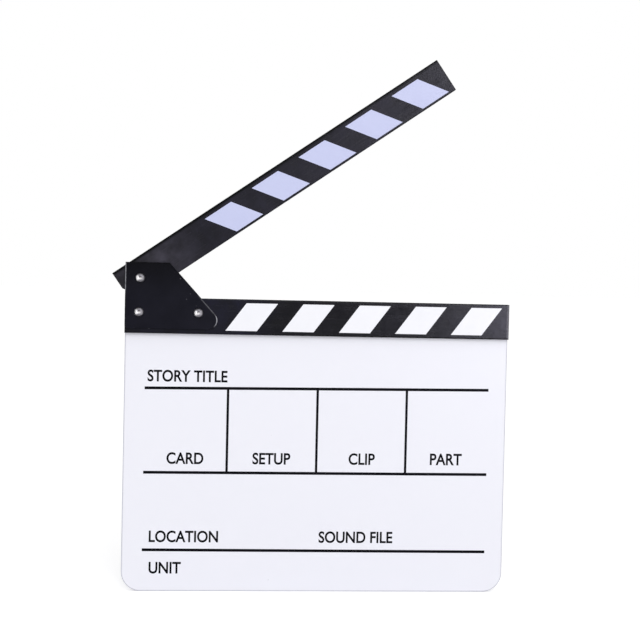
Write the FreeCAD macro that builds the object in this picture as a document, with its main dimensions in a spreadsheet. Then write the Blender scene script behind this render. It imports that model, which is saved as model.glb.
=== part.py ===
import FreeCAD, Part
import math
import os

import Sketcher

# A clapperboard: a white dry-erase slate hangs in the groove of a striped stick, and a second
# striped stick is hinged above it between two plates.
# Origin at the middle of the slate's bottom edge, +X to the right, +Z up, the front faces -Y.
# Millimetres and degrees. The model stands open, as it is held before a clap.

SIZES = {
    # slate
    "slate_inset": 0.3,  # of the slate's sides from the ends of the lower stick
    "slate_shown": 200.5,  # height of the slate below the lower stick
    "slate_thickness": 3.0,
    "slate_corner_radius": 15.0,
    "slate_edge_break": 0.4,
    "groove_web": 7.5,  # of the lower stick, above the slate's tongue
    "groove_clearance": 0.1,  # on each side of the tongue and above it
    # sticks
    "stick_length": 300.0,
    "stick_height": 27.5,
    "stick_thickness": 10.0,
    "stick_easing": 1.0,
    # pivot and swing
    "pivot_inset": 11.6,  # from the hinge end of the lower stick
    "pivot_rise": 12.7,  # above the clapping edge of the upper stick
    "hinge_gap": 2.3,  # between the clapping edges where the sticks lie parallel
    "tail_length": 16.1,  # of the upper stick, behind the pivot
    "upper_setback": 3.1,  # of its free end from that of the lower stick
    "opening_angle": 34.75,
    "heel_angle": 55.0,  # of opening, where the flat of the heel lies along the lower stick
    # hinge plates
    "plate_thickness": 2.0,
    "plate_inset": 0.1,
    "plate_margin": 3.4,  # above the bottom of the lower stick
    "plate_above_pivot": 12.0,
    "plate_length": 70.9,
    "plate_top_width": 33.6,
    "plate_nose_radius": 7.4,
    "plate_corner_radius": 3.0,
    "plate_bevel": 0.7,
    # screws
    "screw_diameter": 4.0,
    "screw_length": 20.0,
    "screw_hole_clearance": 0.15,  # radial, where a screw only passes through
    "pivot_clearance": 0.08,  # radial, where the upper stick turns on its screw
    "head_diameter": 7.6,
    "head_height": 2.2,
    "head_land_diameter": 4.0,
    "socket_width": 2.5,
    "socket_depth": 1.3,
    "fixing_inset": 11.05,  # of the first fixing screw, from the hinge end of the lower stick
    "fixing_setback": 14.5,  # of the second one, from the nose of the hinge plate
    "fixing_drop": 11.15,  # below the clapping edge of the lower stick
    # washers and lock nuts
    "slip_washer_diameter": 12.0,
    "slip_washer_thickness": 0.5,
    "slip_washer_clearance": 0.05,  # between each slip washer and the turning stick
    "flat_washer_diameter": 9.0,
    "flat_washer_thickness": 0.8,
    "nut_width": 7.0,
    "nut_height": 5.0,
    "nut_hex_height": 3.3,
    "nut_corner_slope": 30.0,
    "nut_collar_diameter": 6.4,
    "thread_clearance": 0.05,
    "insert_diameter": 5.2,
    "insert_height": 1.5,
    # magnets in the clapping edges
    "magnet_diameter": 6.0,
    "magnet_thickness": 3.0,
    "magnet_inset": 10.0,  # from the free end of the lower stick
    "magnet_sink": 0.1,  # below the clapping edge
    "magnet_clearance": 0.05,
    # stripes
    "stripe_thickness": 0.2,
    "stripe_height": 21.5,
    "stripe_width": 24.3,
    "lower_stripe_gap": 6.4,  # from the nose of the hinge plate to the first stripe's bottom corner
    "lower_stripe_end": 6.0,  # from the last stripe's top corner to the free end
    "lower_stripe_margin": 3.1,  # above the bottom of the lower stick
    "lower_stripe_lean": 16.0,
    "upper_stripe_start": 66.0,  # from the pivot to the first stripe's top corner
    "upper_stripe_end": 5.9,  # from the last stripe's bottom corner to the free end
    "upper_stripe_margin": 1.7,  # above the clapping edge of the upper stick
    "upper_stripe_lean": 15.4,
}
STRIPES_PER_STICK = 5
HEXAGON_SIDES = 6
FACE_TOLERANCE = 1e-4

doc = FreeCAD.newDocument("Clapperboard")
sheet = doc.addObject("Spreadsheet::Sheet", "Sizes")
for row, (alias, number) in enumerate(SIZES.items(), 1):
    sheet.set(f"A{row}", alias.replace("_", " "))
    sheet.set(f"B{row}", str(number))
    sheet.setAlias(f"B{row}", alias)
doc.recompute()


class Size:
    """A length or an angle: its present number, and the expression that keeps it tied to the sheet."""

    def __init__(self, number, text):
        self.number = number
        self.text = text

    def __add__(self, other):
        other = as_size(other)
        return Size(self.number + other.number, f"({self.text} + {other.text})")

    def __sub__(self, other):
        other = as_size(other)
        return Size(self.number - other.number, f"({self.text} - {other.text})")

    def __mul__(self, other):
        other = as_size(other)
        return Size(self.number * other.number, f"({self.text} * {other.text})")

    def __truediv__(self, other):
        other = as_size(other)
        return Size(self.number / other.number, f"({self.text} / {other.text})")

    def __neg__(self):
        return Size(-self.number, f"(0 - {self.text})")


def as_size(value):
    return value if isinstance(value, Size) else Size(float(value), repr(float(value)))


def size(alias):
    """The sheet's value of that name."""
    return Size(float(sheet.get(alias)), f"Sizes.{alias}")


def sine(angle):
    return Size(math.sin(math.radians(angle.number)), f"sin({angle.text} * 1 deg)")


def cosine(angle):
    return Size(math.cos(math.radians(angle.number)), f"cos({angle.text} * 1 deg)")


def tangent(angle):
    return Size(math.tan(math.radians(angle.number)), f"tan({angle.text} * 1 deg)")


# Places and sizes that several pieces share

hinge_end = -size("stick_length") / 2
slate_right = size("stick_length") / 2 - size("slate_inset")
stick_bottom = size("slate_shown")
pivot_x = hinge_end + size("pivot_inset")
pivot_z = stick_bottom + size("stick_height") + size("hinge_gap") + size("pivot_rise")
tongue_depth = size("stick_height") - size("groove_web")
fixing_rise = size("stick_height") - size("fixing_drop")
front_face = size("stick_thickness") / 2
plate_face = front_face + size("plate_thickness")
slip_gap = size("slip_washer_thickness") + size("slip_washer_clearance")
upper_half_thickness = front_face - slip_gap
upper_reach = size("stick_length") - size("pivot_inset") - size("upper_setback")
screw_radius = size("screw_diameter") / 2
screw_hole_radius = screw_radius + size("screw_hole_clearance")
pivot_hole_radius = screw_radius + size("pivot_clearance")
nut_bore_radius = screw_radius + size("thread_clearance")
magnet_radius = size("magnet_diameter") / 2
magnet_pocket_radius = magnet_radius + size("magnet_clearance")
magnet_pocket_depth = size("magnet_thickness") + size("magnet_sink")
lower_magnet_x = size("stick_length") - size("magnet_inset")
upper_magnet_x = lower_magnet_x - size("pivot_inset")
plate_nose = size("plate_inset") + size("plate_length")
fixing_xs = [size("fixing_inset"), plate_nose - size("fixing_setback")]

nodes = []


# Helpers for bodies, sketches and features


def bind(item, path, value):
    """Keep one property of an object tied to the sheet."""
    item.setExpression(path, as_size(value).text)


def new_body(label):
    body = doc.addObject("PartDesign::Body", label)
    body.Label = label
    nodes.append(body)
    return body


def place(item, x, y, z, axis=(0, 0, 1), angle=0.0):
    """Put a piece at a point, turned about an axis through it."""
    x, y, z, angle = (as_size(value) for value in (x, y, z, angle))
    turn = FreeCAD.Rotation(FreeCAD.Vector(*axis), angle.number)
    item.Placement = FreeCAD.Placement(FreeCAD.Vector(x.number, y.number, z.number), turn)
    for name, value in (("x", x), ("y", y), ("z", z)):
        bind(item, f"Placement.Base.{name}", value)
    if angle.number:
        bind(item, "Placement.Rotation.Angle", angle)


def place_on_lower_stick(item):
    """Local origin at the bottom corner of the lower stick's hinge end."""
    place(item, hinge_end, 0, stick_bottom)


def place_on_upper_stick(item):
    """Local origin on the pivot, local X along the upper stick."""
    place(item, pivot_x, 0, pivot_z, axis=(0, -1, 0), angle=size("opening_angle"))


def place_along_screw(item, x, y, z):
    """Local Z runs from the front to the back along a screw's axis."""
    place(item, x, y, z, axis=(-1, 0, 0), angle=90)


def new_sketch(body, role, name, offset=None):
    """A sketch on one of the body's own planes, or on a parallel one."""
    sketch = body.newObject("Sketcher::SketchObject", f"{body.Label}_{name}")
    plane = next(item for item in body.Origin.OriginFeatures if item.Role == role)
    sketch.AttachmentSupport = [(plane, "")]
    sketch.MapMode = "FlatFace"
    if offset is not None:
        sketch.AttachmentOffset = FreeCAD.Placement(
            FreeCAD.Vector(0, 0, offset.number), FreeCAD.Rotation()
        )
        bind(sketch, "AttachmentOffset.Base.z", offset)
    return sketch


def fix_point(sketch, geometry, point, x, y):
    """Dimension a point from the sketch's origin."""
    for kind, value in (("DistanceX", x), ("DistanceY", y)):
        rule = Sketcher.Constraint(kind, -1, 1, geometry, point, value.number)
        bind(sketch, f"Constraints[{sketch.addConstraint(rule)}]", value)


def add_circle(sketch, x, y, radius):
    x, y, radius = (as_size(value) for value in (x, y, radius))
    centre = FreeCAD.Vector(x.number, y.number, 0)
    circle = sketch.addGeometry(Part.Circle(centre, FreeCAD.Vector(0, 0, 1), radius.number))
    rule = sketch.addConstraint(Sketcher.Constraint("Radius", circle, radius.number))
    bind(sketch, f"Constraints[{rule}]", radius)
    fix_point(sketch, circle, 3, x, y)


def add_outline(sketch, corners, arc_centres=None):
    """A closed outline, anticlockwise. An edge that has a centre in arc_centres is an arc about it."""
    arc_centres = arc_centres or {}
    corners = [(as_size(x), as_size(y)) for x, y in corners]
    points = [FreeCAD.Vector(x.number, y.number, 0) for x, y in corners]
    first = sketch.GeometryCount
    for i, start in enumerate(points):
        end = points[(i + 1) % len(points)]
        if i in arc_centres:
            centre = FreeCAD.Vector(*(as_size(value).number for value in arc_centres[i]), 0)
            angles = [math.atan2(p.y - centre.y, p.x - centre.x) for p in (start, end)]
            circle = Part.Circle(centre, FreeCAD.Vector(0, 0, 1), start.distanceToPoint(centre))
            sketch.addGeometry(Part.ArcOfCircle(circle, *angles))
        else:
            sketch.addGeometry(Part.LineSegment(start, end))
    for i, (x, y) in enumerate(corners):
        before = first + (i - 1) % len(corners)
        sketch.addConstraint(Sketcher.Constraint("Coincident", before, 2, first + i, 1))
        fix_point(sketch, first + i, 1, x, y)
    for i, (x, _) in arc_centres.items():
        x = as_size(x)
        rule = Sketcher.Constraint("DistanceX", -1, 1, first + i, 3, x.number)
        bind(sketch, f"Constraints[{sketch.addConstraint(rule)}]", x)


def add_rectangle(sketch, left, bottom, right, top):
    add_outline(sketch, [(left, bottom), (right, bottom), (right, top), (left, top)])


def add_hexagon(sketch, width_across_flats):
    corner_radius = width_across_flats / math.sqrt(3)
    turns = [as_size(360 / HEXAGON_SIDES * k) for k in range(HEXAGON_SIDES)]
    add_outline(sketch, [(corner_radius * cosine(turn), corner_radius * sine(turn)) for turn in turns])


def pad(body, sketch, length, sides="One side", backwards=False):
    feature = body.newObject("PartDesign::Pad", f"{sketch.Label}_pad")
    feature.Profile = sketch
    feature.SideType = sides
    feature.Reversed = backwards
    bind(feature, "Length", length)
    doc.recompute()
    return feature


def pocket(body, sketch, depth=None, backwards=False):
    """Cut a sketch's shape to a depth, or right through both ways if none is given."""
    volume_before = body.Shape.Volume
    feature = body.newObject("PartDesign::Pocket", f"{sketch.Label}_pocket")
    feature.Profile = sketch
    feature.Reversed = backwards
    if depth is None:
        feature.Type = "ThroughAll"
        feature.SideType = "Symmetric"
    else:
        bind(feature, "Length", depth)
    doc.recompute()
    if body.Shape.Volume >= volume_before:
        raise RuntimeError(f"{feature.Label} cuts nothing")
    return feature


def turn_about_z(body, sketch, kind):
    """Revolve a profile drawn in the body's XZ plane about the body's Z axis."""
    feature = body.newObject(f"PartDesign::{kind}", f"{sketch.Label}_turned")
    feature.Profile = sketch
    feature.ReferenceAxis = (sketch, ["V_Axis"])
    feature.Angle = 360
    doc.recompute()
    return feature


def open_edges_at(feature, axis, level):
    """Names of the edges that lie in a plane square to an axis, apart from whole circles."""
    return [
        f"Edge{i}"
        for i, edge in enumerate(feature.Shape.Edges, 1)
        if len(edge.Vertexes) == 2
        and all(abs(getattr(v.Point, axis) - level.number) < FACE_TOLERANCE for v in edge.Vertexes)
    ]


def edges_through(feature, x, z):
    """Names of the edges that run front to back through a point of the XZ plane."""
    return [
        f"Edge{i}"
        for i, edge in enumerate(feature.Shape.Edges, 1)
        if all(
            math.hypot(v.X - x.number, v.Z - z.number) < FACE_TOLERANCE for v in edge.Vertexes
        )
    ]


def dress(body, feature, kind, edges, amount):
    """Round or bevel edges: kind is Fillet or Chamfer."""
    if not edges:
        raise RuntimeError(f"{feature.Label} has no edge for its {kind}")
    finish = body.newObject(f"PartDesign::{kind}", f"{feature.Label}_{kind}")
    finish.Base = (feature, edges)
    bind(finish, "Radius" if kind == "Fillet" else "Size", amount)
    doc.recompute()
    return finish


# Slate: an acrylic sheet whose plain top edge is the tongue in the lower stick


def make_slate():
    body = new_body("slate_board")
    sketch = new_sketch(body, "XZ_Plane", "outline")
    add_rectangle(sketch, -slate_right, 0, slate_right, stick_bottom + tongue_depth)
    for x in fixing_xs:
        add_circle(sketch, hinge_end + x, stick_bottom + fixing_rise, screw_hole_radius)
    sheet_pad = pad(body, sketch, size("slate_thickness"), sides="Symmetric")
    bottom_corners = edges_through(sheet_pad, -slate_right, as_size(0)) + edges_through(
        sheet_pad, slate_right, as_size(0)
    )
    rounded = dress(body, sheet_pad, "Fillet", bottom_corners, size("slate_corner_radius"))
    half = size("slate_thickness") / 2
    rims = open_edges_at(rounded, "y", half) + open_edges_at(rounded, "y", -half)
    dress(body, rounded, "Chamfer", rims, size("slate_edge_break"))


# Lower stick: grooved from below for the slate, with a magnet pocket in its clapping edge


def make_lower_stick():
    body = new_body("lower_stick")
    place_on_lower_stick(body)
    sketch = new_sketch(body, "XZ_Plane", "outline")
    add_rectangle(sketch, 0, 0, size("stick_length"), size("stick_height"))
    for x in fixing_xs:
        add_circle(sketch, x, fixing_rise, screw_hole_radius)
    bar = pad(body, sketch, size("stick_thickness"), sides="Symmetric")
    rims = open_edges_at(bar, "y", front_face) + open_edges_at(bar, "y", -front_face)
    dress(body, bar, "Fillet", rims, size("stick_easing"))
    half_groove = size("slate_thickness") / 2 + size("groove_clearance")
    groove_top = tongue_depth + size("groove_clearance")
    groove = new_sketch(body, "YZ_Plane", "groove")
    add_rectangle(groove, -half_groove, 0, half_groove, groove_top)
    pocket(body, groove)
    magnet_hole = new_sketch(body, "XY_Plane", "magnet_hole", offset=size("stick_height"))
    add_circle(magnet_hole, lower_magnet_x, 0, magnet_pocket_radius)
    pocket(body, magnet_hole, depth=magnet_pocket_depth)


# Upper stick: its heel is round about the pivot, then flat so that it clears the lower stick


def make_upper_stick():
    body = new_body("upper_stick")
    place_on_upper_stick(body)
    slope = size("heel_angle")
    heel = size("pivot_rise")
    tail = size("tail_length")
    top = size("stick_height") - heel
    flat_start = (-(heel * sine(slope)), -(heel * cosine(slope)))
    flat_end = (-tail, (tail * sine(slope) - heel) / cosine(slope))
    sketch = new_sketch(body, "XZ_Plane", "outline")
    add_outline(
        sketch,
        [flat_start, (0, -heel), (upper_reach, -heel), (upper_reach, top), (-tail, top), flat_end],
        arc_centres={0: (0, 0)},
    )
    add_circle(sketch, 0, 0, pivot_hole_radius)
    bar = pad(body, sketch, upper_half_thickness * 2, sides="Symmetric")
    rims = open_edges_at(bar, "y", upper_half_thickness) + open_edges_at(
        bar, "y", -upper_half_thickness
    )
    dress(body, bar, "Fillet", rims, size("stick_easing"))
    magnet_hole = new_sketch(body, "XY_Plane", "magnet_hole", offset=-heel)
    add_circle(magnet_hole, upper_magnet_x, 0, magnet_pocket_radius)
    pocket(body, magnet_hole, depth=magnet_pocket_depth, backwards=True)


# Hinge plates: a pair of cheeks with a slanted edge that runs into a round nose


def make_hinge_plate(label, backwards):
    body = new_body(label)
    place_on_lower_stick(body)
    nose = size("plate_nose_radius")
    left = size("plate_inset")
    bottom = size("plate_margin")
    pivot_height = pivot_z - stick_bottom
    top = pivot_height + size("plate_above_pivot")
    shoulder = left + size("plate_top_width")
    nose_x = plate_nose - nose
    nose_z = bottom + nose
    # The slanted edge leaves the shoulder as a tangent of the nose
    run = nose_x.number - shoulder.number
    drop = top.number - nose_z.number
    slant = math.asin(nose.number / math.hypot(run, drop)) - math.atan2(drop, run)
    touch_x = nose_x.number - nose.number * math.sin(slant)
    touch_z = nose_z.number + nose.number * math.cos(slant)
    outer = plate_face if backwards else -plate_face
    inner = front_face if backwards else -front_face

    sketch = new_sketch(body, "XZ_Plane", "outline", offset=-inner)
    ahead = FreeCAD.Vector(0, 0, 1)
    corner_points = [
        FreeCAD.Vector(left.number, bottom.number, 0),
        FreeCAD.Vector(nose_x.number, bottom.number, 0),
        FreeCAD.Vector(touch_x, touch_z, 0),
        FreeCAD.Vector(shoulder.number, top.number, 0),
        FreeCAD.Vector(left.number, top.number, 0),
    ]
    nose_circle = Part.Circle(FreeCAD.Vector(nose_x.number, nose_z.number, 0), ahead, nose.number)
    base_line = sketch.addGeometry(Part.LineSegment(corner_points[0], corner_points[1]))
    nose_arc = sketch.addGeometry(Part.ArcOfCircle(nose_circle, -math.pi / 2, slant + math.pi / 2))
    slant_line = sketch.addGeometry(Part.LineSegment(corner_points[2], corner_points[3]))
    top_line = sketch.addGeometry(Part.LineSegment(corner_points[3], corner_points[4]))
    left_line = sketch.addGeometry(Part.LineSegment(corner_points[4], corner_points[0]))
    sketch.addConstraint(Sketcher.Constraint("Tangent", base_line, 2, nose_arc, 1))
    sketch.addConstraint(Sketcher.Constraint("Tangent", nose_arc, 2, slant_line, 1))
    sketch.addConstraint(Sketcher.Constraint("Coincident", slant_line, 2, top_line, 1))
    sketch.addConstraint(Sketcher.Constraint("Coincident", top_line, 2, left_line, 1))
    sketch.addConstraint(Sketcher.Constraint("Coincident", left_line, 2, base_line, 1))
    sketch.addConstraint(Sketcher.Constraint("Horizontal", base_line))
    fix_point(sketch, base_line, 1, left, bottom)
    fix_point(sketch, top_line, 1, shoulder, top)
    fix_point(sketch, left_line, 1, left, top)
    nose_radius = sketch.addConstraint(Sketcher.Constraint("Radius", nose_arc, nose.number))
    bind(sketch, f"Constraints[{nose_radius}]", nose)
    nose_place = Sketcher.Constraint("DistanceX", -1, 1, nose_arc, 3, nose_x.number)
    bind(sketch, f"Constraints[{sketch.addConstraint(nose_place)}]", nose_x)
    for x in fixing_xs:
        add_circle(sketch, x, fixing_rise, screw_hole_radius)
    add_circle(sketch, size("pivot_inset"), pivot_height, screw_hole_radius)

    cheek = pad(body, sketch, size("plate_thickness"), backwards=backwards)
    corner = edges_through(cheek, left, bottom)
    rounded = dress(body, cheek, "Fillet", corner, size("plate_corner_radius"))
    dress(body, rounded, "Chamfer", open_edges_at(rounded, "y", outer), size("plate_bevel"))


# Fasteners: button-head screws from the front, flat washers and lock nuts at the back


def make_screw(label, x, z):
    body = new_body(label)
    place_along_screw(body, x, -plate_face, z)
    head_radius = size("head_diameter") / 2
    land_radius = size("head_land_diameter") / 2
    head = size("head_height")
    tip = size("screw_length")
    # The dome's centre is on the axis, as far from the head's rim as from its land
    dome = (head_radius * head_radius - land_radius * land_radius - head * head) / (head * 2)
    profile = new_sketch(body, "XZ_Plane", "profile")
    add_outline(
        profile,
        [
            (land_radius, -head),
            (head_radius, 0),
            (screw_radius, 0),
            (screw_radius, tip),
            (0, tip),
            (0, -head),
        ],
        arc_centres={0: (0, dome)},
    )
    turn_about_z(body, profile, "Revolution")
    socket = new_sketch(body, "XY_Plane", "socket", offset=-head)
    add_hexagon(socket, size("socket_width"))
    pocket(body, socket, depth=size("socket_depth"), backwards=True)


def make_washer(label, x, y, z, diameter, hole_radius, thickness):
    body = new_body(label)
    place_along_screw(body, x, y, z)
    ring = new_sketch(body, "XY_Plane", "ring")
    add_circle(ring, 0, 0, diameter / 2)
    add_circle(ring, 0, 0, hole_radius)
    pad(body, ring, thickness)


def make_lock_nut(label, insert_label, x, y, z):
    """A hexagon nut with a round collar that holds a nylon ring."""
    body = new_body(label)
    place_along_screw(body, x, y, z)
    hexagon = new_sketch(body, "XY_Plane", "hexagon")
    add_hexagon(hexagon, size("nut_width"))
    pad(body, hexagon, size("nut_hex_height"))
    flat = size("nut_width") / 2
    corner = flat * (2 / math.sqrt(3))
    bevel = (corner - flat) * tangent(size("nut_corner_slope"))
    hex_top = size("nut_hex_height")
    corners = new_sketch(body, "XZ_Plane", "corner_bevel")
    add_outline(corners, [(flat, hex_top), (corner, hex_top - bevel), (corner, hex_top)])
    turn_about_z(body, corners, "Groove")
    collar = new_sketch(body, "XY_Plane", "collar")
    add_circle(collar, 0, 0, size("nut_collar_diameter") / 2)
    pad(body, collar, size("nut_height"))
    bore = new_sketch(body, "XY_Plane", "bore")
    add_circle(bore, 0, 0, nut_bore_radius)
    pocket(body, bore)
    seat = new_sketch(body, "XY_Plane", "insert_seat", offset=size("nut_height"))
    add_circle(seat, 0, 0, size("insert_diameter") / 2)
    pocket(body, seat, depth=size("insert_height"))
    insert_y = y + size("nut_height") - size("insert_height")
    make_washer(
        insert_label, x, insert_y, z, size("insert_diameter"), nut_bore_radius, size("insert_height")
    )


def make_fastener(prefix, x, z, number=""):
    """A screw with its washer and lock nut behind the rear plate."""
    make_screw(f"{prefix}_screw{number}", x, z)
    flat_thickness = size("flat_washer_thickness")
    make_washer(
        f"{prefix}_flat_washer{number}",
        x,
        plate_face,
        z,
        size("flat_washer_diameter"),
        screw_hole_radius,
        flat_thickness,
    )
    make_lock_nut(
        f"{prefix}_lock_nut{number}",
        f"{prefix}_nut_insert{number}",
        x,
        plate_face + flat_thickness,
        z,
    )


# Slip washers: nylon rings that keep the turning stick off the plates


def make_slip_washers():
    thickness = size("slip_washer_thickness")
    for label, y in (
        ("front_pivot_washer", -front_face),
        ("rear_pivot_washer", front_face - thickness),
    ):
        make_washer(
            label, pivot_x, y, pivot_z, size("slip_washer_diameter"), screw_hole_radius, thickness
        )


# Magnets: discs sunk in the clapping edges, facing each other when the sticks are shut


def make_magnet(label, place_on_stick, x, base):
    body = new_body(label)
    place_on_stick(body)
    disc = new_sketch(body, "XY_Plane", "disc", offset=base)
    add_circle(disc, x, 0, magnet_radius)
    pad(body, disc, size("magnet_thickness"))


# Stripes: leaning bars of white vinyl on the front of each stick


def make_stripe(label, place_on_stick, face, start, bottom, lean):
    """start is the bottom corner nearer the hinge, and the top edge is shifted by lean."""
    body = new_body(label)
    place_on_stick(body)
    top = bottom + size("stripe_height")
    width = size("stripe_width")
    sketch = new_sketch(body, "XZ_Plane", "outline", offset=face)
    add_outline(
        sketch,
        [
            (start, bottom),
            (start + width, bottom),
            (start + width + lean, top),
            (start + lean, top),
        ],
    )
    pad(body, sketch, size("stripe_thickness"))


def stripe_pitch(stick_reach, start, end, lean):
    """The step that spreads the stripes evenly over a stick."""
    free = stick_reach - start - end - size("stripe_width") - lean
    return free / (STRIPES_PER_STICK - 1)


def make_stripes():
    lower_start, lower_lean = plate_nose + size("lower_stripe_gap"), size("lower_stripe_lean")
    upper_start, upper_lean = size("upper_stripe_start"), size("upper_stripe_lean")
    lower_pitch = stripe_pitch(
        size("stick_length"), lower_start, size("lower_stripe_end"), lower_lean
    )
    upper_pitch = stripe_pitch(upper_reach, upper_start, size("upper_stripe_end"), upper_lean)
    for k in range(STRIPES_PER_STICK):
        make_stripe(
            f"lower_stripe_{k + 1}",
            place_on_lower_stick,
            front_face,
            lower_start + lower_pitch * k,
            size("lower_stripe_margin"),
            lower_lean,
        )
        make_stripe(
            f"upper_stripe_{k + 1}",
            place_on_upper_stick,
            upper_half_thickness,
            upper_start + upper_lean + upper_pitch * k,
            size("upper_stripe_margin") - size("pivot_rise"),
            -upper_lean,
        )


make_slate()
make_lower_stick()
make_upper_stick()
make_hinge_plate("front_hinge_plate", backwards=False)
make_hinge_plate("rear_hinge_plate", backwards=True)
make_fastener("pivot", pivot_x, pivot_z)
for k, fixing_x in enumerate(fixing_xs, 1):
    make_fastener("fixing", hinge_end + fixing_x, stick_bottom + fixing_rise, f"_{k}")
make_slip_washers()
lower_magnet_base = size("stick_height") - magnet_pocket_depth
upper_magnet_base = size("magnet_sink") - size("pivot_rise")
make_magnet("lower_magnet", place_on_lower_stick, lower_magnet_x, lower_magnet_base)
make_magnet("upper_magnet", place_on_upper_stick, upper_magnet_x, upper_magnet_base)
make_stripes()
doc.recompute()

for item in doc.Objects:
    if "Invalid" in item.State or "Error" in item.State:
        raise RuntimeError(f"{item.Label} failed: {item.State}")
for node in nodes:
    if node.Shape.isNull() or not node.Shape.isValid() or len(node.Shape.Solids) != 1:
        raise RuntimeError(f"{node.Label} is not one sound solid")

os.makedirs("parts", exist_ok=True)
for node in nodes:
    node.Shape.exportStep(f"parts/{node.Label}.step")
print(f"{len(nodes)} pieces written")
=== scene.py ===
import math

import bmesh
import bpy
from mathutils import Matrix, Vector


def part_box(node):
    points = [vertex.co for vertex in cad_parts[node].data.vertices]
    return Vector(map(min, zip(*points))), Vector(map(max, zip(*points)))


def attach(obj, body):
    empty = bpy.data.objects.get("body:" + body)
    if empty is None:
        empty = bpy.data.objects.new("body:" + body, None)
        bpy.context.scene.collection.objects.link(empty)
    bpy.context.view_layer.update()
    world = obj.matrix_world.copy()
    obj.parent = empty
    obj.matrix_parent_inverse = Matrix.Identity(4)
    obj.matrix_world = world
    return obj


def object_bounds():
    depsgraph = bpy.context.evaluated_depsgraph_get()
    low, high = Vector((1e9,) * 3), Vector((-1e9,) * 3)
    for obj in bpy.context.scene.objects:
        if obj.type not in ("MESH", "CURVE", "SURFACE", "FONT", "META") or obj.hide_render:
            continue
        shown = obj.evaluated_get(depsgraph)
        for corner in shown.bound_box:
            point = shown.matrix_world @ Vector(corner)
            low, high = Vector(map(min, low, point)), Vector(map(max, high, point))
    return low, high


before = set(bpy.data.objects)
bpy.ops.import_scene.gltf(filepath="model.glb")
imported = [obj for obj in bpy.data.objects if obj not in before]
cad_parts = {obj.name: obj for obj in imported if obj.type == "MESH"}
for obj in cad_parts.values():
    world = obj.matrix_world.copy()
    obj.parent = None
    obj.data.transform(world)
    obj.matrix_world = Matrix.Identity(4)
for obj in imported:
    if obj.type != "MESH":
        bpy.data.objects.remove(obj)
cad_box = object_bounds()

MM = 0.001

# Camera, as the photo was taken: almost level, a little from the left, tilted by about one degree
VIEW_AZIMUTH = -4.7
VIEW_ELEVATION = 1.7
VIEW_ROLL = 1.26
VIEW_DISTANCE = 1.0
VIEW_TARGET = Vector((1.0, 0.0, 213.1)) * MM
LENS = 72.0
SENSOR = 36.0
NEAREST_SEEN = 0.05
FARTHEST_SEEN = 200.0

# Light: how strongly the surroundings light the object, and the glow that makes the seen floor white
AMBIENT = 0.54
FLOOR_LIFT = 0.28
FLOOR_HALF_SIZE = 30.0
FLOOR_CELLS = 8

# Shapes of the part that the materials follow
OPENING_ANGLE = math.radians(34.75)
SLATE_CORNER_RADIUS = 15.0 * MM

# Print on the slate, in millimetres from the middle of its bottom edge
INK_THICKNESS = 0.04
RULE_LEFT, RULE_RIGHT = -133.9, 135.6
# Each rule's height at its left and right end: the print is not quite square to the sheet
RULES = ((158.1, 160.2), (92.6, 93.3), (32.2, 31.8))
RULE_WIDTH = 2.2
COLUMN_XS = (-69.5, 0.35, 70.65)
COLUMN_WIDTH = 1.9
LABEL_HEIGHT = 9.2
# Width of the letters against their typeface, and what is added to their outline against a size of 1
LABEL_CONDENSING = 0.86
LABEL_BOLDNESS = 0.022
# Each label: its word, where it starts or is centred, and its baseline
LEFT_LABELS = (
    ("STORY TITLE", -131.8, 163.1),
    ("LOCATION", -128.7, 38.1),
    ("SOUND FILE", 3.5, 38.2),
    ("UNIT", -128.4, 13.6),
)
CENTRED_LABELS = (
    ("CARD", -101.9, 99.2),
    ("SETUP", -34.8, 99.5),
    ("CLIP", 36.1, 99.9),
    ("PART", 102.9, 100.4),
)

# Sockets of the Mix node when it blends colours: their names repeat, so they go by number
MIX_FACTOR, MIX_FIRST, MIX_SECOND = 0, 6, 7
MIX_RESULT = 2


# Materials: lengths are in metres, and noise scales are per metre


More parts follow.
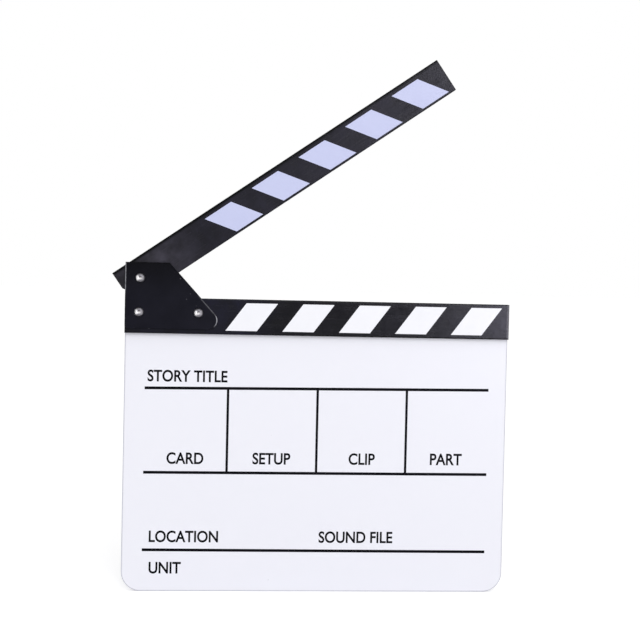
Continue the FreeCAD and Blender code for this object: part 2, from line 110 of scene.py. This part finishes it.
class Look:
    """A procedural material, with short ways to add nodes to it."""

    def __init__(self, name, **constants):
        self.material = bpy.data.materials.new(name)
        self.material.use_nodes = True
        self.nodes = self.material.node_tree.nodes
        self.links = self.material.node_tree.links
        self.shader = self.nodes["Principled BSDF"]
        coordinates = self.nodes.new("ShaderNodeTexCoord")
        self.place = coordinates.outputs["Object"]
        self.facing = coordinates.outputs["Normal"]
        self.surface(**constants)

    def feed(self, socket, value):
        """Link an output to a socket, or set the socket's own value."""
        if isinstance(value, bpy.types.NodeSocket):
            self.links.new(value, socket)
        elif isinstance(value, tuple) and len(value) == 3 and socket.type == "RGBA":
            socket.default_value = (*value, 1.0)
        else:
            socket.default_value = value

    def surface(self, **values):
        """Feed the shader: base_color goes to Base Color, and so on."""
        for name, value in values.items():
            words = name.replace("_", " ").title().replace("Ior", "IOR")
            self.feed(self.shader.inputs[words], value)

    def bump(self, height, depth):
        """Raise the surface by up to that depth."""
        node = self.nodes.new("ShaderNodeBump")
        node.inputs["Distance"].default_value = depth
        self.feed(node.inputs["Height"], height)
        self.surface(normal=node.outputs["Normal"])

    def maths(self, operation, first, second=0.0):
        node = self.nodes.new("ShaderNodeMath")
        node.operation = operation
        self.feed(node.inputs[0], first)
        self.feed(node.inputs[1], second)
        return node.outputs["Value"]

    def plus(self, first, second):
        return self.maths("ADD", first, second)

    def minus(self, first, second):
        return self.maths("SUBTRACT", first, second)

    def times(self, first, second):
        return self.maths("MULTIPLY", first, second)

    def ratio(self, first, second):
        return self.maths("DIVIDE", first, second)

    def greater(self, first, second):
        return self.maths("MAXIMUM", first, second)

    def size_of(self, number):
        """A number without its sign."""
        return self.maths("ABSOLUTE", number)

    def span(self, value, low, high, new_low=0.0, new_high=1.0):
        """Map one range to another, and keep inside it."""
        node = self.nodes.new("ShaderNodeMapRange")
        for socket, number in zip(node.inputs, (value, low, high, new_low, new_high)):
            self.feed(socket, number)
        return node.outputs["Result"]

    def blend(self, factor, first, second):
        """A colour between two."""
        node = self.nodes.new("ShaderNodeMix")
        node.data_type = "RGBA"
        self.feed(node.inputs[MIX_FACTOR], factor)
        self.feed(node.inputs[MIX_FIRST], first)
        self.feed(node.inputs[MIX_SECOND], second)
        return node.outputs[MIX_RESULT]

    def vector_node(self, operation, first, second=(0.0, 0.0, 0.0)):
        node = self.nodes.new("ShaderNodeVectorMath")
        node.operation = operation
        self.feed(node.inputs[0], first)
        self.feed(node.inputs[1], second)
        return node

    def scaled(self, colour, factor):
        """A colour made darker or lighter."""
        node = self.vector_node("SCALE", colour)
        self.feed(node.inputs["Scale"], factor)
        return node.outputs["Vector"]

    def length(self, vector):
        return self.vector_node("LENGTH", vector).outputs["Value"]

    def vector(self, x, y=0.0):
        node = self.nodes.new("ShaderNodeCombineXYZ")
        self.feed(node.inputs["X"], x)
        self.feed(node.inputs["Y"], y)
        return node.outputs["Vector"]

    def stretched(self, scale, turn=0.0):
        """The place, turned about Y and then scaled along each axis."""
        turned = self.nodes.new("ShaderNodeMapping")
        self.feed(turned.inputs["Vector"], self.place)
        turned.inputs["Rotation"].default_value = (0.0, turn, 0.0)
        resized = self.nodes.new("ShaderNodeMapping")
        self.feed(resized.inputs["Vector"], turned.outputs["Vector"])
        resized.inputs["Scale"].default_value = scale
        return resized.outputs["Vector"]

    def along(self, axis, place=None):
        """The coordinate along X, Y or Z."""
        node = self.nodes.new("ShaderNodeSeparateXYZ")
        self.feed(node.inputs["Vector"], place or self.place)
        return node.outputs[axis]

    def noise(self, scale, detail=3.0, place=None):
        node = self.nodes.new("ShaderNodeTexNoise")
        self.feed(node.inputs["Vector"], place or self.place)
        node.inputs["Scale"].default_value = scale
        node.inputs["Detail"].default_value = detail
        return node.outputs["Fac"]

    def specks(self, spacing, radius, share):
        """1 inside small dots, which a share of the cells of that spacing have."""
        cells = self.nodes.new("ShaderNodeTexVoronoi")
        self.feed(cells.inputs["Vector"], self.place)
        cells.inputs["Scale"].default_value = 1.0 / spacing
        chance = self.nodes.new("ShaderNodeSeparateColor")
        self.feed(chance.inputs["Color"], cells.outputs["Color"])
        dot = self.span(cells.outputs["Distance"], radius / spacing, 0.5 * radius / spacing)
        return self.times(dot, self.maths("LESS_THAN", chance.outputs["Red"], share))

    def facing_along(self, direction):
        """How far the surface faces a direction, from -1 to 1."""
        return self.vector_node("DOT_PRODUCT", self.facing, direction).outputs["Value"]

    def off_front(self, start, full):
        """0 on the front and back faces, 1 where the surface has turned away from them."""
        return self.span(self.size_of(self.facing_along((0.0, 1.0, 0.0))), start, full)

    def distance_from_axis(self, x, z):
        """The distance from an axis that runs front to back."""
        moved = self.vector_node("SUBTRACT", self.place, (x, 0.0, z)).outputs["Vector"]
        return self.length(self.vector_node("MULTIPLY", moved, (1.0, 0.0, 1.0)).outputs["Vector"])

    def inside_sheet(self, half_width, radius):
        """How far inside a sheet that stands on z = 0 and has round bottom corners."""
        sideways = self.minus(self.size_of(self.along("X")), half_width - radius)
        downwards = self.minus(radius, self.along("Z"))
        beyond = self.vector(self.greater(sideways, 0.0), self.greater(downwards, 0.0))
        return self.minus(radius, self.length(beyond))


def acrylic_look():
    """White sheet, faintly lavender, with wiped smears and specks; painted shade makes a greyer line
    along its edge and darker side faces.
    """
    clean, wiped = (0.9, 0.901, 0.97), (0.894, 0.896, 0.966)
    speck_grey = (0.3, 0.3, 0.33)
    outline_shade_grey = (0.72, 0.72, 0.79)
    side_shade_grey = (0.4, 0.41, 0.5)
    half_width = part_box("slate_board")[1].x
    look = Look("white_acrylic", specular_ior_level=0.12)
    smear = look.span(look.noise(22.0, 5.0, look.stretched((1.0, 1.0, 2.4), 0.5)), 0.4, 0.72)
    specks = look.specks(spacing=12.0 * MM, radius=0.5 * MM, share=0.12)
    marked = look.blend(look.times(specks, 0.4), look.blend(smear, clean, wiped), speck_grey)
    # Painted shade: a greyer line just inside the sheet's outline, where its polished edge looks dark.
    outline_shade = look.span(look.inside_sheet(half_width, SLATE_CORNER_RADIUS), 1.2 * MM, 0.5 * MM)
    outline_shaded = look.blend(outline_shade, marked, outline_shade_grey)
    scratches = look.noise(420.0, 2.0, look.stretched((0.05, 1.0, 1.0), 0.4))
    scratched = look.span(scratches, 0.6, 0.75, 0.0, 0.05)
    # Painted shade: the side faces are greyer than the front.
    look.surface(
        base_color=look.blend(look.off_front(0.97, 0.6), outline_shaded, side_shade_grey),
        roughness=look.plus(look.span(smear, 0.0, 1.0, 0.3, 0.34), scratched),
    )
    look.bump(look.noise(260.0, 2.0), 0.02 * MM)
    return look.material


def stick_reach(node, turn):
    """Where a stick starts and ends along its length, and its top across it."""
    corners = [vertex.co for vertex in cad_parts[node].data.vertices]
    lengthwise = [corner.x * math.cos(turn) + corner.z * math.sin(turn) for corner in corners]
    crosswise = [corner.z * math.cos(turn) - corner.x * math.sin(turn) for corner in corners]
    return min(lengthwise), max(lengthwise), max(crosswise)


def stick_shade(look, lengthwise, start, end, shades, hinge_fade):
    """Paint lighter or darker towards the hinge and the free end as painted sheen and shade, and darker
    on the tail as a painted shadow of the hinge plates.
    """
    fade_start, fade_end = hinge_fade
    # Painted sheen and shade: the paint changes its shade towards the hinge and the free end.
    at_hinge = look.span(lengthwise, start + fade_start, start + fade_end, 1.0, 0.0)
    at_end = look.span(lengthwise, end - 75.0 * MM, end)
    # Painted shadow of the hinge plates on the tail.
    plate_shadow = look.span(lengthwise, start + 9.0 * MM, start + 20.0 * MM, 0.5, 1.0)
    shade = look.blend(at_end, look.blend(at_hinge, shades["middle"], shades["hinge"]), shades["end"])
    return look.scaled(shade, plate_shadow)


def painted_wood_look(name, node, turn, shades, hinge_fade, dark_rim, end_highlight):
    """Satin black paint on a stick: mottled, chipped, with faint grain; its sides are lighter from
    rubbing and as a painted highlight on the end edges, with painted shade along its top edge and a
    painted highlight at its free end.
    """
    chip_black, rim_black = (0.0008, 0.0007, 0.001), (0.0005, 0.0005, 0.001)
    highlight_grey, rubbed_and_lit_grey = (0.15, 0.148, 0.165), (0.05, 0.049, 0.057)
    full_shine, rim_shine = (1.0, 1.0, 1.0), (0.5, 0.5, 0.5)
    start, end, top = stick_reach(node, turn)
    look = Look(name, specular_ior_level=0.11)
    turned = look.stretched((1.0, 1.0, 1.0), turn)
    lengthwise, crosswise = look.along("X", turned), look.along("Z", turned)
    shade = stick_shade(look, lengthwise, start, end, shades, hinge_fade)
    mottle = look.span(look.noise(150.0, 6.0), 0.3, 0.7)
    blotches = look.span(look.noise(48.0, 3.0), 0.35, 0.7, 0.65, 1.5)
    mottled = look.scaled(shade, look.times(look.span(mottle, 0.0, 1.0, 0.55, 1.05), blotches))
    chips = look.specks(spacing=14.0 * MM, radius=0.7 * MM, share=0.22)
    chipped = look.blend(look.times(chips, 0.8), mottled, chip_black)
    # Painted shade along the top edge.
    rim = look.span(crosswise, top - 2.8 * MM, top - 1.2 * MM, 0.0, dark_rim)
    # Painted highlight on the edge at the free end.
    end_edge_highlight = look.span(lengthwise, end - 2.2 * MM, end - 1.0 * MM, 0.0, end_highlight)
    # The painted shade and the painted highlight are laid over the chipped paint.
    scuffed = look.blend(end_edge_highlight, look.blend(rim, chipped, rim_black), highlight_grey)
    # Lighter streaks on the sides from rubbing, which are in part a painted highlight on the end edges.
    side = look.off_front(0.7, 0.4)
    streaks = look.noise(170.0, 5.0, look.stretched((0.15, 1.0, 1.0), turn))
    rubbed_and_lit = look.times(side, look.span(streaks, 0.45, 0.75))
    grain = look.noise(700.0, 4.0, look.stretched((0.05, 1.0, 1.0), turn))
    satin = look.plus(look.span(mottle, 0.0, 1.0, 0.28, 0.22), look.span(grain, 0.3, 0.7, -0.03, 0.03))
    look.surface(
        base_color=look.blend(rubbed_and_lit, scuffed, rubbed_and_lit_grey),
        specular_tint=look.blend(rim, full_shine, rim_shine),
        roughness=look.plus(satin, look.times(side, 0.4)),
    )
    look.bump(look.plus(look.times(grain, 0.25), look.times(mottle, 0.5)), 0.06 * MM)
    return look.material


def plate_look():
    """Black satin plate with dust and hairline scratches, a painted highlight on its left edge and its
    nose, and painted shade towards its top.
    """
    black, faded_black = (0.0042, 0.0043, 0.0085), (0.0078, 0.0078, 0.0138)
    top_shade_black = (0.0006, 0.0006, 0.0018)
    dust_grey = (0.16, 0.16, 0.18)
    highlight_metal = (0.48, 0.48, 0.52)
    stick_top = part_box("lower_stick")[1].z
    plate_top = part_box("front_hinge_plate")[1].z
    look = Look("black_anodised_plate", specular_ior_level=0.045)
    height = look.along("Z")
    dark = look.blend(look.span(look.noise(60.0, 5.0), 0.3, 0.7), black, faded_black)
    # Painted shade: the plate turns blacker towards its top.
    darker = look.blend(look.span(height, stick_top, plate_top), dark, top_shade_black)
    dust = look.specks(spacing=4.0 * MM, radius=0.45 * MM, share=0.3)
    dusty = look.blend(look.times(dust, 0.6), darker, dust_grey)
    # Painted highlight on the bevel of the left edge and the nose, broken up by noise.
    leftwards = look.span(look.facing_along((-1.0, 0.0, 0.0)), 0.3, 0.6, 0.0, 0.6)
    rightwards = look.span(look.facing_along((1.0, 0.0, 0.0)), 0.46, 0.7)
    left_edge = look.times(leftwards, look.span(height, stick_top, stick_top + 8.0 * MM))
    nose = look.times(rightwards, look.span(height, stick_top, stick_top + 3.0 * MM, 1.0, 0.0))
    highlight_breakup = look.span(look.noise(240.0, 4.0), 0.3, 0.62, 0.35, 1.0)
    bevel = look.off_front(0.95, 0.8)
    edge_highlight = look.times(bevel, look.times(look.greater(left_edge, nose), highlight_breakup))
    scratches = look.noise(900.0, 2.0, look.stretched((0.04, 1.0, 1.0), 0.9))
    look.surface(
        base_color=look.blend(edge_highlight, dusty, highlight_metal),
        metallic=look.span(edge_highlight, 0.0, 1.0, 0.0, 0.8),
        roughness=look.span(scratches, 0.3, 0.75, 0.38, 0.5),
    )
    look.bump(look.noise(1500.0, 2.0), 0.01 * MM)
    return look.material


def steel_look(name, x, z, front):
    """Turned stainless steel with fine rings, a painted highlight on its left, painted shade at its top
    and bottom, and a socket with painted shade that deepens upwards.
    """
    bright, dim, dark = (0.82, 0.81, 0.82), (0.27, 0.26, 0.28), (0.12, 0.115, 0.13)
    grime_grey = (0.3, 0.3, 0.32)
    socket_bright, socket_shade = (0.62, 0.61, 0.6), (0.1, 0.09, 0.09)
    look = Look(name, metallic=1.0)
    radius = look.distance_from_axis(x, z)
    sideways = look.minus(look.along("X"), x)
    upwards = look.minus(look.along("Z"), z)
    # Painted highlight on the head's left and painted shade at its top and bottom.
    left_highlight = look.span(look.ratio(sideways, radius), -0.85, -0.2)
    top_bottom_shade = look.span(look.ratio(look.size_of(upwards), radius), 0.55, 0.9, 0.0, 0.8)
    steel = look.blend(top_bottom_shade, look.blend(left_highlight, bright, dim), dark)
    grime = look.span(look.noise(900.0, 4.0), 0.45, 0.7, 0.0, 0.5)
    soiled = look.blend(grime, steel, grime_grey)
    within = look.span(radius, 1.4 * MM, 1.7 * MM, 1.0, 0.0)
    sunk = look.span(look.along("Y"), front + 0.05 * MM, front + 0.4 * MM)
    inside_head = look.span(look.along("Y"), front + 1.8 * MM, front + 2.0 * MM, 1.0, 0.0)
    socket = look.times(within, look.times(sunk, inside_head))
    # Painted shade in the socket, deeper towards its top.
    shaded_socket_steel = look.blend(look.span(upwards, -0.2 * MM, 0.7 * MM), socket_bright, socket_shade)
    rings = look.noise(6000.0, 2.0, look.vector(radius))
    look.surface(
        base_color=look.blend(socket, soiled, shaded_socket_steel),
        roughness=look.span(rings, 0.3, 0.7, 0.2, 0.34),
    )
    look.bump(rings, 0.012 * MM)
    return look.material


def nylon_look():
    """Milky plastic of the slip washers and nut rings."""
    milky, yellowed = (0.72, 0.71, 0.66), (0.62, 0.61, 0.55)
    look = Look("nylon", subsurface_weight=0.2, subsurface_radius=(1.0 * MM, 1.0 * MM, 0.8 * MM))
    cloud = look.span(look.noise(700.0, 4.0), 0.3, 0.7)
    look.surface(
        base_color=look.blend(cloud, milky, yellowed),
        roughness=look.span(cloud, 0.0, 1.0, 0.42, 0.55),
    )
    look.bump(look.noise(2500.0, 2.0), 0.01 * MM)
    return look.material


def nickel_look():
    """Plated magnets, scuffed where they meet."""
    plated, scuffed = (0.4, 0.39, 0.37), (0.26, 0.25, 0.24)
    look = Look("nickel_magnet", metallic=1.0)
    scuffs = look.span(look.noise(1800.0, 5.0, look.stretched((0.2, 1.0, 1.0))), 0.45, 0.7)
    look.surface(
        base_color=look.blend(scuffs, plated, scuffed),
        roughness=look.span(scuffs, 0.0, 1.0, 0.3, 0.5),
    )
    look.bump(scuffs, 0.01 * MM)
    return look.material


def vinyl_look(name, fresh, dulled):
    """Stripe film: a little uneven, with a few marks and a fine orange peel."""
    mark_grey = (0.3, 0.3, 0.35)
    look = Look(name, specular_ior_level=0.12)
    cloud = look.span(look.noise(55.0, 5.0), 0.35, 0.7)
    marks = look.specks(spacing=9.0 * MM, radius=0.4 * MM, share=0.25)
    look.surface(
        base_color=look.blend(look.times(marks, 0.25), look.blend(cloud, fresh, dulled), mark_grey),
        roughness=look.span(cloud, 0.0, 1.0, 0.34, 0.48),
    )
    look.bump(look.noise(1200.0, 2.0), 0.015 * MM)
    return look.material


def ink_look():
    """Screen-printed black, slightly thin in places."""
    full_black, thin_black = (0.0015, 0.0015, 0.003), (0.006, 0.006, 0.009)
    look = Look("black_ink", specular_ior_level=0.03)
    thin = look.span(look.noise(800.0, 4.0), 0.45, 0.75)
    look.surface(
        base_color=look.blend(thin, full_black, thin_black),
        roughness=look.span(thin, 0.0, 1.0, 0.45, 0.6),
    )
    look.bump(thin, 0.01 * MM)
    return look.material


def stick_looks():
    """Each stick has its own shades of black along its length, which are painted sheen and shade for
    the light on it.
    """
    lower = painted_wood_look(
        "black_painted_wood",
        "lower_stick",
        turn=0.0,
        shades={
            "hinge": (0.0054, 0.0054, 0.0128),
            "middle": (0.0016, 0.0014, 0.004),
            "end": (0.0145, 0.014, 0.0205),
        },
        hinge_fade=(85.0 * MM, 125.0 * MM),
        dark_rim=0.0,
        end_highlight=0.75,
    )
    upper = painted_wood_look(
        "black_painted_wood_upper",
        "upper_stick",
        turn=OPENING_ANGLE,
        shades={
            "hinge": (0.042, 0.0392, 0.053),
            "middle": (0.0118, 0.0112, 0.0188),
            "end": (0.001, 0.001, 0.0035),
        },
        hinge_fade=(30.0 * MM, 75.0 * MM),
        dark_rim=1.0,
        end_highlight=0.0,
    )
    return {"lower_stick": lower, "upper_stick": upper}


def fastener_looks(nylon):
    """The steel of each screw, its washer and its nut, and the nylon ring in the nut."""
    looks = {}
    for fastener, number in (("pivot", ""), ("fixing", "_1"), ("fixing", "_2")):
        low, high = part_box(f"{fastener}_screw{number}")
        middle = (low + high) / 2
        steel = steel_look(f"stainless_steel_{fastener}{number}", middle.x, middle.z, low.y)
        for kind in ("screw", "flat_washer", "lock_nut"):
            looks[f"{fastener}_{kind}{number}"] = steel
        looks[f"{fastener}_nut_insert{number}"] = nylon
    return looks


def dress_frame():
    """Give every CAD node its material."""
    plate = plate_look()
    nylon = nylon_look()
    nickel = nickel_look()
    looks = {
        "slate_board": acrylic_look(),
        "front_hinge_plate": plate,
        "rear_hinge_plate": plate,
        "front_pivot_washer": nylon,
        "rear_pivot_washer": nylon,
        "upper_magnet": nickel,
        "lower_magnet": nickel,
        **stick_looks(),
        **fastener_looks(nylon),
    }
    stripe_films = {
        "lower": vinyl_look("lower_white_vinyl", (0.93, 0.932, 0.98), (0.915, 0.919, 0.97)),
        # The upper stripes are the same white film, painted darker and bluer as painted shade.
        "upper": vinyl_look("upper_white_vinyl", (0.593, 0.623, 0.868), (0.575, 0.605, 0.855)),
    }
    for name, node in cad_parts.items():
        side, _, rest = name.partition("_")
        look = stripe_films[side] if rest.startswith("stripe") else looks[name]
        node.data.materials.clear()
        node.data.materials.append(look)


# Objects and meshes


def add_object(name, data):
    """Put a mesh, a lamp or a camera into the scene."""
    added = bpy.data.objects.new(name, data)
    bpy.context.scene.collection.objects.link(added)
    return added


def finished_mesh(name, shape):
    mesh = bpy.data.meshes.new(name)
    shape.to_mesh(mesh)
    shape.free()
    return mesh


def pointing(direction):
    """The turn that points an object's -Z along a direction."""
    return direction.to_track_quat("-Z", "Y")


# Print on the slate


def slate_front():
    """The y of the slate's front face."""
    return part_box("slate_board")[0].y


def add_print(name, mesh, ink):
    """A printed piece, which rides with the slate."""
    mesh.materials.append(ink)
    piece = add_object(name, mesh)
    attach(piece, "slate")


def add_bar(bars, start, end, width):
    """A flat printed bar on the slate's face between two points, in millimetres."""
    run = math.hypot(end[0] - start[0], end[1] - start[1])
    tilt = math.atan2(end[1] - start[1], end[0] - start[0])
    middle = Vector(((start[0] + end[0]) / 2, -INK_THICKNESS / 2, (start[1] + end[1]) / 2)) * MM
    middle.y += slate_front()
    extent = Matrix.Diagonal((run * MM, INK_THICKNESS * MM, width * MM, 1.0))
    place = Matrix.Translation(middle) @ Matrix.Rotation(-tilt, 4, "Y") @ extent
    bmesh.ops.create_cube(bars, size=1.0, matrix=place)


def rule_height(rule, x):
    """The height of a rule's middle at some distance from the slate's centre line."""
    left, right = rule
    return left + (right - left) * (x - RULE_LEFT) / (RULE_RIGHT - RULE_LEFT)


def print_rules(ink):
    """Three rules across the slate, and the columns between the upper two."""
    bars = bmesh.new()
    for left, right in RULES:
        add_bar(bars, (RULE_LEFT, left), (RULE_RIGHT, right), RULE_WIDTH)
    upper_rule, lower_rule = RULES[0], RULES[1]
    for x in COLUMN_XS:
        foot = rule_height(lower_rule, x) + RULE_WIDTH / 2
        head = rule_height(upper_rule, x) - RULE_WIDTH / 2
        add_bar(bars, (x, foot), (x, head), COLUMN_WIDTH)
    add_print("slate_rules", finished_mesh("slate_rules", bars), ink)


def word_mesh(name, word):
    """A word as a thin solid, standing on z = 0 and starting at x = 0, of the label height."""
    half_depth = 0.5
    text = bpy.data.curves.new(name, "FONT")
    text.body = word
    text.size = 1.0
    text.extrude = half_depth
    text.offset = LABEL_BOLDNESS
    holder = add_object(name, text)
    mesh = bpy.data.meshes.new_from_object(holder.evaluated_get(bpy.context.evaluated_depsgraph_get()))
    bpy.data.objects.remove(holder)
    bpy.data.curves.remove(text)
    left = min(vertex.co.x for vertex in mesh.vertices)
    bottom = min(vertex.co.y for vertex in mesh.vertices)
    top = max(vertex.co.y for vertex in mesh.vertices)
    scale = LABEL_HEIGHT * MM / (top - bottom)
    front = slate_front()
    for vertex in mesh.vertices:
        x = (vertex.co.x - left) * scale * LABEL_CONDENSING
        y = front - INK_THICKNESS * MM * (half_depth + vertex.co.z)
        z = (vertex.co.y - bottom) * scale
        vertex.co = (x, y, z)
    return mesh


def print_labels(ink):
    """The field words, the first few starting at their place and the others centred on it."""
    for number, (word, x, baseline) in enumerate(LEFT_LABELS + CENTRED_LABELS, 1):
        name = f"field_label_{number}"
        mesh = word_mesh(name, word)
        centred = number > len(LEFT_LABELS)
        shift = max(vertex.co.x for vertex in mesh.vertices) / 2 if centred else 0.0
        mesh.transform(Matrix.Translation((x * MM - shift, 0.0, baseline * MM)))
        add_print(name, mesh, ink)


# Studio: pale floor, soft lamps, white surroundings and the camera


def greater_of(nodes, links, first, second):
    node = nodes.new("ShaderNodeMath")
    node.operation = "MAXIMUM"
    links.new(first, node.inputs[0])
    links.new(second, node.inputs[1])
    return node.outputs["Value"]


def seen_directly(nodes, links):
    """1 for rays from the camera, a mirror or glass, and 0 for rays that only carry light."""
    rays = nodes.new("ShaderNodeLightPath").outputs
    camera_or_mirror = greater_of(nodes, links, rays["Is Camera Ray"], rays["Is Glossy Ray"])
    return greater_of(nodes, links, camera_or_mirror, rays["Is Transmission Ray"])


def make_world():
    """White surroundings, which light the object less than they show."""
    world = bpy.data.worlds.new("studio")
    world.use_nodes = True
    bpy.context.scene.world = world
    nodes, links = world.node_tree.nodes, world.node_tree.links
    background = nodes["Background"]
    background.inputs["Color"].default_value = (1.0, 1.0, 1.0, 1.0)
    strength = nodes.new("ShaderNodeMapRange")
    strength.inputs["To Min"].default_value = AMBIENT
    strength.inputs["To Max"].default_value = 1.0
    links.new(seen_directly(nodes, links), strength.inputs["Value"])
    links.new(strength.outputs["Result"], background.inputs["Strength"])


def make_floor():
    """A wide pale floor under the object."""
    pale, cloudy = (0.9, 0.9, 0.9), (0.88, 0.88, 0.885)
    look = Look("floor", specular_ior_level=0.0, roughness=0.9, emission_color=(1.0, 1.0, 1.0))
    look.surface(
        base_color=look.blend(look.span(look.noise(1.5, 3.0), 0.3, 0.7), pale, cloudy),
        emission_strength=look.times(seen_directly(look.nodes, look.links), FLOOR_LIFT),
    )
    plane = bmesh.new()
    bmesh.ops.create_grid(plane, x_segments=FLOOR_CELLS, y_segments=FLOOR_CELLS, size=FLOOR_HALF_SIZE)
    mesh = finished_mesh("floor", plane)
    mesh.materials.append(look.material)
    floor = add_object("floor", mesh)
    floor.location = (0.0, 0.0, cad_box[0].z)


def add_sun(name, tilt, turn, spread, strength):
    """Even light from far away: tilted from straight down, turned about Z, and soft by its spread."""
    sun = bpy.data.lights.new(name, "SUN")
    sun.angle = math.radians(spread)
    sun.energy = strength
    holder = add_object(name, sun)
    holder.rotation_euler = (math.radians(tilt), 0.0, math.radians(turn))


def add_lamp(name, place, aim, width, height, power):
    """A soft box at a place, pointing at a point."""
    lamp = bpy.data.lights.new(name, "AREA")
    lamp.shape = "RECTANGLE"
    lamp.size = width
    lamp.size_y = height
    lamp.energy = power
    holder = add_object(name, lamp)
    holder.location = place
    holder.rotation_euler = pointing(Vector(aim) - Vector(place)).to_euler()


def add_reflector(name, place, aim, width, height, lean, strength):
    """A bright card that shows only in reflections."""
    glow_colour = (1.0, 0.97, 1.15)
    glow = Look(
        name,
        base_color=(0.0, 0.0, 0.0),
        emission_color=glow_colour,
        emission_strength=strength,
    )
    card = bmesh.new()
    bmesh.ops.create_grid(card, x_segments=1, y_segments=1, size=0.5)
    mesh = finished_mesh(name, card)
    mesh.materials.append(glow.material)
    holder = add_object(name, mesh)
    aimed = pointing(Vector(aim) - Vector(place)).to_matrix().to_4x4()
    leaning = Matrix.Rotation(math.radians(lean), 4, "Z")
    extent = Matrix.Diagonal((width, height, 1.0, 1.0))
    holder.matrix_world = Matrix.Translation(place) @ aimed @ leaning @ extent
    holder.visible_camera = False
    holder.visible_diffuse = False
    holder.visible_shadow = False


def light_scene():
    make_world()
    add_sun("overhead", tilt=48.0, turn=12.0, spread=70.0, strength=0.9)
    add_sun("back_fill", tilt=-52.0, turn=0.0, spread=90.0, strength=0.6)
    add_lamp(
        "high_softbox",
        place=(0.25, -2.2, 1.5),
        aim=(0.0, 0.0, 0.2),
        width=0.6,
        height=1.0,
        power=8.0,
    )
    add_reflector(
        "right_reflector",
        place=(0.965, -2.16, 0.53),
        aim=(0.0, 0.0, 0.25),
        width=0.6,
        height=1.35,
        lean=4.0,
        strength=26.0,
    )


def set_camera():
    azimuth, elevation = math.radians(VIEW_AZIMUTH), math.radians(VIEW_ELEVATION)
    level = math.cos(elevation)
    back = Vector((math.sin(azimuth) * level, -math.cos(azimuth) * level, math.sin(elevation)))
    lens = bpy.data.cameras.new("camera")
    lens.lens = LENS
    lens.sensor_width = SENSOR
    lens.clip_start = NEAREST_SEEN
    lens.clip_end = FARTHEST_SEEN
    camera = add_object("camera", lens)
    turn = pointing(-back).to_matrix() @ Matrix.Rotation(math.radians(VIEW_ROLL), 3, "Z")
    camera.matrix_world = Matrix.Translation(VIEW_TARGET + back * VIEW_DISTANCE) @ turn.to_4x4()
    bpy.context.scene.camera = camera


dress_frame()
black_ink = ink_look()
print_rules(black_ink)
print_labels(black_ink)
make_floor()
light_scene()
set_camera()
bpy.context.scene.view_settings.view_transform = "Standard"
